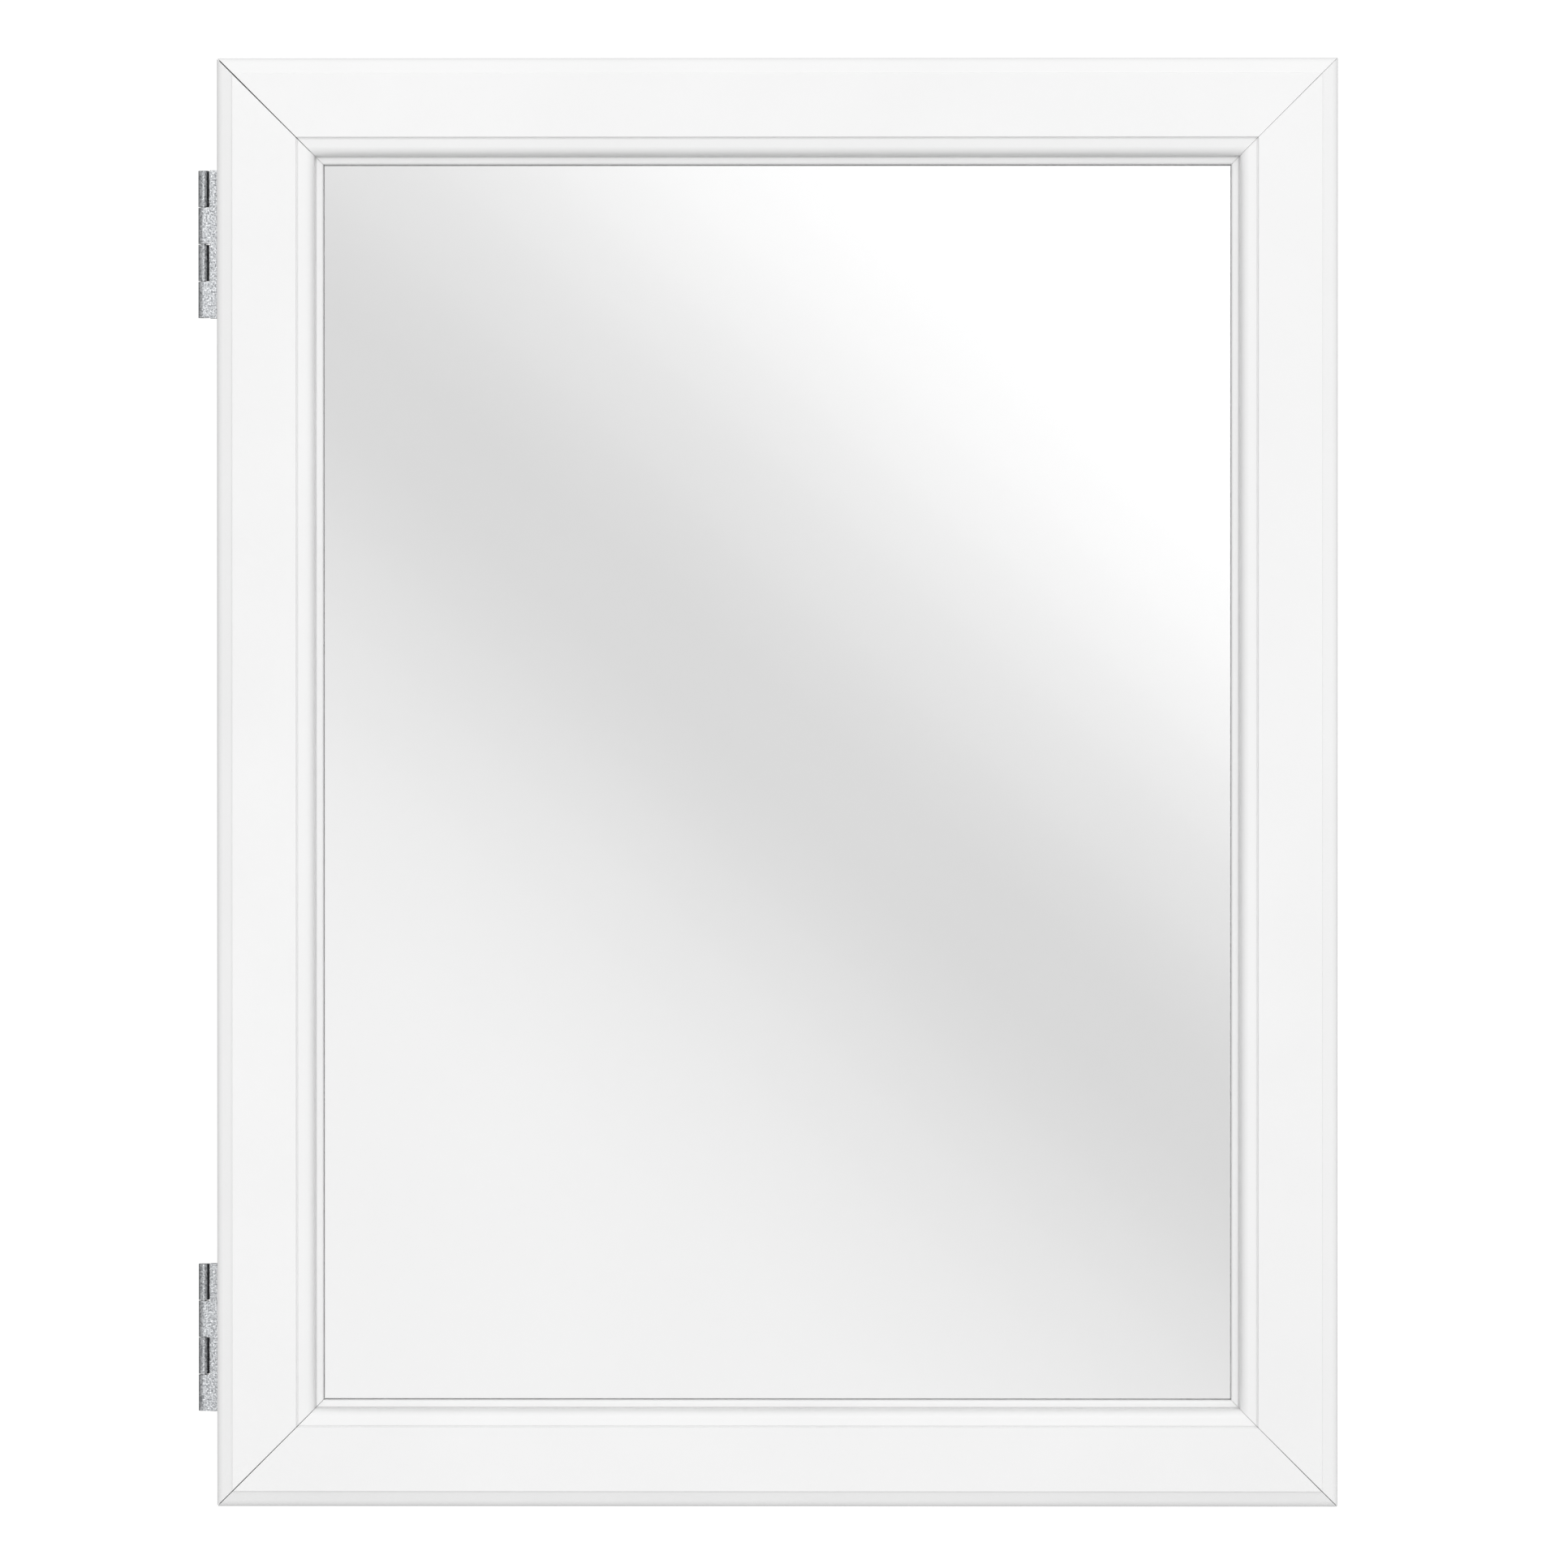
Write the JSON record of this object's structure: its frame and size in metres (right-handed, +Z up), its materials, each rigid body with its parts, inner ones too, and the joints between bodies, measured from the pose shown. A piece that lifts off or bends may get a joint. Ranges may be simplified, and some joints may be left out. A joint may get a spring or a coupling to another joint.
{
  "type": "wall cabinet",
  "caption": "Shallow hanging wall cabinet with a framed mirror door on butt hinges, a magnetic catch and adjustable glass shelves inside.",
  "frame": {"origin": "the middle of the box's back, on the wall plane", "axes": "+Y into the wall, +Z up, +X to the right as the viewer faces the door"},
  "size_m": [0.3903, 0.1176, 0.495],
  "materials": {
    "painted_board": "white satin lacquer on medium-density fibreboard",
    "painted_moulding": "white satin paint on a moulded frame",
    "hardboard": "bare hardboard, screen-pressed on one face",
    "beech": "bare fluted dowel",
    "shelf_glass": "clear float glass with eased edges",
    "mirror": "silvered float glass",
    "hinge_steel": "barrel-zinc-plated steel, mottled and slightly burred",
    "zinc_steel": "bright zinc-plated steel",
    "bright_steel": "nickel-plated steel",
    "white_plastic": "moulded white plastic",
    "ferrite": "ground ceramic magnet, dark grey",
    "clear_bumper": "clear soft polyurethane"
  },
  "bodies": {
    "cabinet": {"side_left": "painted_board", "side_right": "painted_board", "top_panel": "painted_board", "bottom_panel": "painted_board", "back_panel": "hardboard", "hanging_rail_top": "painted_board", "hanging_rail_bottom": "painted_board", "shelf_lower": "shelf_glass", "shelf_lower_pins": "bright_steel", "shelf_upper": "shelf_glass", "shelf_upper_pins": "bright_steel", "panel_screws": "zinc_steel", "panel_screw_caps": "white_plastic", "panel_dowels": "beech", "rail_dowels": "beech", "back_nails": "zinc_steel", "catch_housing": "white_plastic", "catch_magnet": "ferrite", "catch_poles": "bright_steel", "catch_screws": "zinc_steel", "upper_hinge_box_leaf": "hinge_steel", "upper_hinge_pin": "hinge_steel", "lower_hinge_box_leaf": "hinge_steel", "lower_hinge_pin": "hinge_steel", "box_leaf_screws": "zinc_steel"},
    "door": {"door_rail_top": "painted_moulding", "door_rail_bottom": "painted_moulding", "door_stile_hinge": "painted_moulding", "door_stile_latch": "painted_moulding", "mitre_nails": "zinc_steel", "mirror": "mirror", "mirror_backer": "hardboard", "backer_clips": "zinc_steel", "backer_clip_screws": "zinc_steel", "upper_hinge_door_leaf": "hinge_steel", "lower_hinge_door_leaf": "hinge_steel", "door_leaf_screws": "zinc_steel", "strike_plate": "bright_steel", "strike_screw": "zinc_steel", "door_bumpers": "clear_bumper"}
  },
  "joints": [
    {"name": "door_swing", "type": "hinge", "parent": "cabinet", "child": "door", "pos_m": [-0.19285, -0.09778, 0], "axis": [0, 0, -1], "range_deg": [0, 180]}
  ]
}
